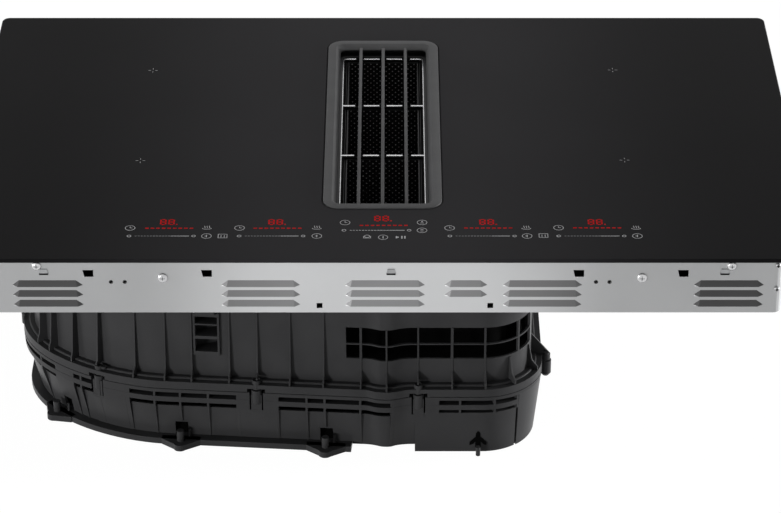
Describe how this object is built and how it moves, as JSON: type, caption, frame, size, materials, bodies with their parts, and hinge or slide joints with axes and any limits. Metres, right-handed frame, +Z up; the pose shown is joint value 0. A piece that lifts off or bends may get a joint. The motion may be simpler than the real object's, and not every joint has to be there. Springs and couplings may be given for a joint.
{
  "type": "downdraft induction cooktop",
  "caption": "Induction cooktop with a grille, grease filter and drip container in the middle of its glass, over a steel tray and a moulded blower housing with a rectangular outlet.",
  "frame": {"origin": "under the middle of the glass, at the foot of the blower housing", "axes": "+X to the user's right, -Y to the front where the user stands, +Z up"},
  "size_m": [0.802, 0.522, 0.2332],
  "materials": {
    "glass": "black glass ceramic with a ground edge",
    "seal": "black foam and silicone",
    "tray": "bare galvanised sheet",
    "screw": "zinc plated",
    "grille": "dark grey metallic paint",
    "collar": "black moulded plastic",
    "filter": "bright stainless steel",
    "container": "dark grey moulded plastic",
    "housing": "black polypropylene with a fine grain",
    "impeller": "dark grey moulded plastic",
    "motor": "cast end shields",
    "coil_plate": "rolled sheet",
    "coil_carrier": "moulded",
    "copper": "lacquered copper strand",
    "white_plastic": "moulded",
    "board": "circuit board with its parts",
    "heat_sink": "extruded",
    "cooling_fan": "moulded"
  },
  "bodies": {
    "root": {"glass_top": "glass", "worktop_seal": "seal", "glass_bead": "seal", "tray": "tray", "tray_screw_left": "screw", "tray_screw_right": "screw", "clamp_screw_left": "screw", "clamp_screw_right": "screw", "inlet_collar": "collar", "collar_seal": "seal", "upper_housing": "housing", "lower_housing": "housing", "bottom_cover": "housing", "fan_inlet_plate": "housing", "outlet_spigot": "housing", "motor": "motor", "motor_bracket": "tray", "shell_screw_1": "screw", "shell_screw_2": "screw", "shell_screw_3": "screw", "shell_screw_4": "screw", "shell_screw_5": "screw", "coil_plate_left": "coil_plate", "coil_carrier_left_front": "coil_carrier", "coil_winding_left_front": "copper", "coil_sensor_left_front": "white_plastic", "coil_carrier_left_back": "coil_carrier", "coil_winding_left_back": "copper", "coil_sensor_left_back": "white_plastic", "power_board_left": "board", "heat_sink_left": "heat_sink", "cooling_fan_frame_left": "cooling_fan", "coil_plate_right": "coil_plate", "coil_carrier_right_front": "coil_carrier", "coil_winding_right_front": "copper", "coil_sensor_right_front": "white_plastic", "coil_carrier_right_back": "coil_carrier", "coil_winding_right_back": "copper", "coil_sensor_right_back": "white_plastic", "power_board_right": "board", "heat_sink_right": "heat_sink", "cooling_fan_frame_right": "cooling_fan", "control_carrier": "white_plastic", "control_board": "board", "mains_board": "board", "terminal_block": "white_plastic", "cable_gland": "collar"},
    "container": {"drip_container": "container"},
    "filter": {"filter_rim": "filter", "filter_left_panel": "filter", "filter_right_panel": "filter", "filter_floor": "filter"},
    "grille": {"vent_grille": "grille"},
    "fan_wheel": {"impeller": "impeller", "motor_shaft": "screw"},
    "cooler_left": {"cooling_fan_rotor_left": "cooling_fan"},
    "cooler_right": {"cooling_fan_rotor_right": "cooling_fan"}
  },
  "joints": [
    {"name": "container_lift", "type": "slide", "parent": "root", "child": "container", "axis": [0, 0, 1], "range_m": [0, 0.13]},
    {"name": "filter_lift", "type": "slide", "parent": "container", "child": "filter", "axis": [0, 0, 1], "range_m": [0, 0.09]},
    {"name": "grille_lift", "type": "slide", "parent": "filter", "child": "grille", "axis": [0, 0, 1], "range_m": [0, 0.06]},
    {"name": "fan_spin", "type": "hinge", "parent": "root", "child": "fan_wheel", "pos_m": [-0.188, -0.018, 0.06], "axis": [0, 0, 1], "continuous": true},
    {"name": "cooler_spin_left", "type": "hinge", "parent": "root", "child": "cooler_left", "pos_m": [-0.235, -0.112, 0.179], "axis": [0, 0, 1], "continuous": true},
    {"name": "cooler_spin_right", "type": "hinge", "parent": "root", "child": "cooler_right", "pos_m": [0.235, -0.112, 0.179], "axis": [0, 0, 1], "continuous": true}
  ]
}
